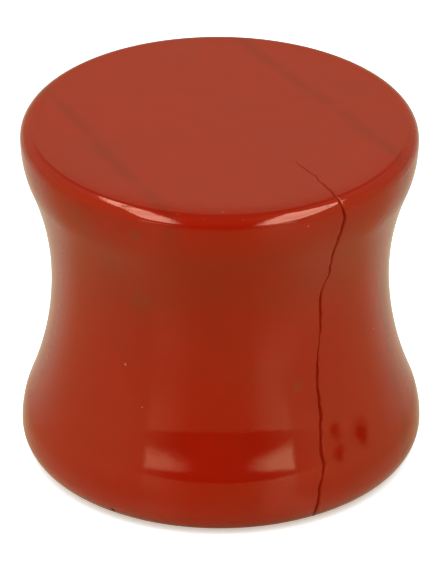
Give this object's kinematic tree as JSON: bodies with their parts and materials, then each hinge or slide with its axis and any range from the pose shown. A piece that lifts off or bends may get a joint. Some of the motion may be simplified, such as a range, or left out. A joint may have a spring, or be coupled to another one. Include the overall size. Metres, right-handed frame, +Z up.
{
  "type": "ear plug",
  "caption": "Solid double-flared ear plug turned from polished red stone, with a hollow waist that sits in a stretched earlobe.",
  "frame": {"origin": "centre of the lower face, on the surface the plug stands on", "axes": "+Z up along the plug's own axis, from the lower flare to the upper flare; +Y away from the viewer of the front view, +X to the right"},
  "size_m": [0.0142, 0.0142, 0.0128],
  "materials": {
    "red_jasper": "polished brick-red jasper with brown veins, dark blotches and one fine open crack"
  },
  "bodies": {
    "root": {"stone_plug": "red_jasper"}
  },
  "joints": []
}
